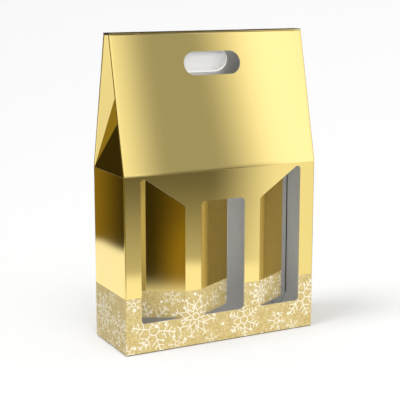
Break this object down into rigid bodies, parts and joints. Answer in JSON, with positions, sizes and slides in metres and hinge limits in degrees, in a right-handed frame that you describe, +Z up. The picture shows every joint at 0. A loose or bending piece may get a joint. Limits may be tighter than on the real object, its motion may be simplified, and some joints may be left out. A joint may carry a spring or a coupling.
{
  "type": "bottle carton",
  "caption": "Folded gift carton that carries bottles upright, with cut-out windows, inward gussets, a hand hole and a hinged ridge lid.",
  "frame": {"origin": "middle of the base, on the plane the carton stands on", "axes": "+X along the width to the right seen from the front, -Y towards the front with the windows, +Z up"},
  "size_m": [0.255, 0.09, 0.3698],
  "materials": {
    "foil_card": "fluted card laminated with glossy gold foil outside, raw grey-white board inside"
  },
  "bodies": {
    "carton": {"carton": "foil_card"},
    "lid": {"ridge_lid": "foil_card"},
    "tuck": {"tuck_flap": "foil_card"},
    "hand_flap": {"hand_flap": "foil_card"}
  },
  "joints": [
    {"name": "lid_hinge", "type": "hinge", "parent": "carton", "child": "lid", "pos_m": [0, 0.0085, 0.36815], "axis": [-1, 0, 0], "range_deg": [0, 50]},
    {"name": "tuck_hinge", "type": "hinge", "parent": "lid", "child": "tuck", "pos_m": [0, -0.00487, 0.36815], "axis": [1, 0, 0], "range_deg": [0, 75]},
    {"name": "hand_flap_hinge", "type": "hinge", "parent": "carton", "child": "hand_flap", "pos_m": [0, 0.01354, 0.34618], "axis": [1, 0, 0], "range_deg": [-8, 140]}
  ],
  "couplings": [
    {"joint": "tuck_hinge", "follows": "lid_hinge", "ratio": 1.5}
  ]
}
